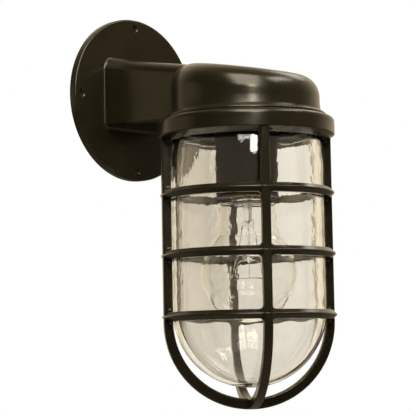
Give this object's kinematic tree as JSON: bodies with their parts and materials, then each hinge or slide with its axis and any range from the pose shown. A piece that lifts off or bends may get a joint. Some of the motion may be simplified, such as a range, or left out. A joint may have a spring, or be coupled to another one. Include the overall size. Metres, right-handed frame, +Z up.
{
  "type": "outdoor wall lamp",
  "caption": "Caged outdoor wall lamp: round wall plate, hollow box arm and sloping hood, a clear glass jar clamped by a screw-on bar guard, and a screw-base bulb in a round holder.",
  "frame": {"origin": "centre of the wall plate's back face, at the middle of its screw holes", "axes": "+Z up, +Y into the wall, +X to the right for someone who faces the lamp"},
  "size_m": [0.1308, 0.1884, 0.3055],
  "materials": {
    "bronze": "dark oil-rubbed bronze, satin",
    "jar_glass": "clear, slightly wavy",
    "bulb_glass": "clear, thin",
    "rubber_black": "matte",
    "zinc_steel": "zinc plated",
    "brass": "plain",
    "phenolic": "dark moulded",
    "block_plastic": "ivory moulded",
    "insulation_black": "satin",
    "insulation_white": "satin",
    "insulation_green": "satin",
    "base_glass": "black glass",
    "solder": "dull tin",
    "tungsten": "dark wire"
  },
  "bodies": {
    "bracket": {"wall_bracket": "bronze", "wall_gasket": "rubber_black", "head_seal": "rubber_black", "socket_strap": "zinc_steel", "strap_screws": "zinc_steel", "socket_nipple": "brass", "nipple_nut": "brass", "socket_cup": "phenolic", "socket_liner": "phenolic", "screw_shell": "brass", "centre_contact": "brass", "terminal_block": "block_plastic", "terminal_screws": "brass", "block_screws": "zinc_steel", "live_lead": "insulation_black", "neutral_lead": "insulation_white", "earth_lead": "insulation_green", "earth_lug": "brass", "earth_screw": "zinc_steel"},
    "globe": {"glass_globe": "jar_glass", "globe_cushion": "rubber_black"},
    "guard": {"cage_guard": "bronze"},
    "bulb_lift": {"bulb_contact": "solder"},
    "bulb": {"bulb_base": "brass", "bulb_insulator": "base_glass", "bulb_envelope": "bulb_glass", "bulb_stem": "bulb_glass", "bulb_leads": "zinc_steel", "bulb_supports": "zinc_steel", "bulb_filament": "tungsten"}
  },
  "joints": [
    {"name": "globe_drop", "type": "slide", "parent": "bracket", "child": "globe", "axis": [0, 0, -1], "range_m": [0, 0.007]},
    {"name": "cage_turn", "type": "hinge", "parent": "globe", "child": "guard", "pos_m": [0, -0.123, 0], "axis": [0, 0, -1], "range_deg": [0, 840]},
    {"name": "bulb_drop", "type": "slide", "parent": "bracket", "child": "bulb_lift", "axis": [0, 0, -1], "range_m": [0, 0.0109]},
    {"name": "bulb_turn", "type": "hinge", "parent": "bulb_lift", "child": "bulb", "pos_m": [0, -0.123, 0], "axis": [0, 0, -1], "range_deg": [0, 1080]}
  ],
  "couplings": [
    {"joint": "globe_drop", "follows": "cage_turn", "m_per_rad": 0.00047746},
    {"joint": "bulb_drop", "follows": "bulb_turn", "m_per_rad": 0.00057773}
  ]
}
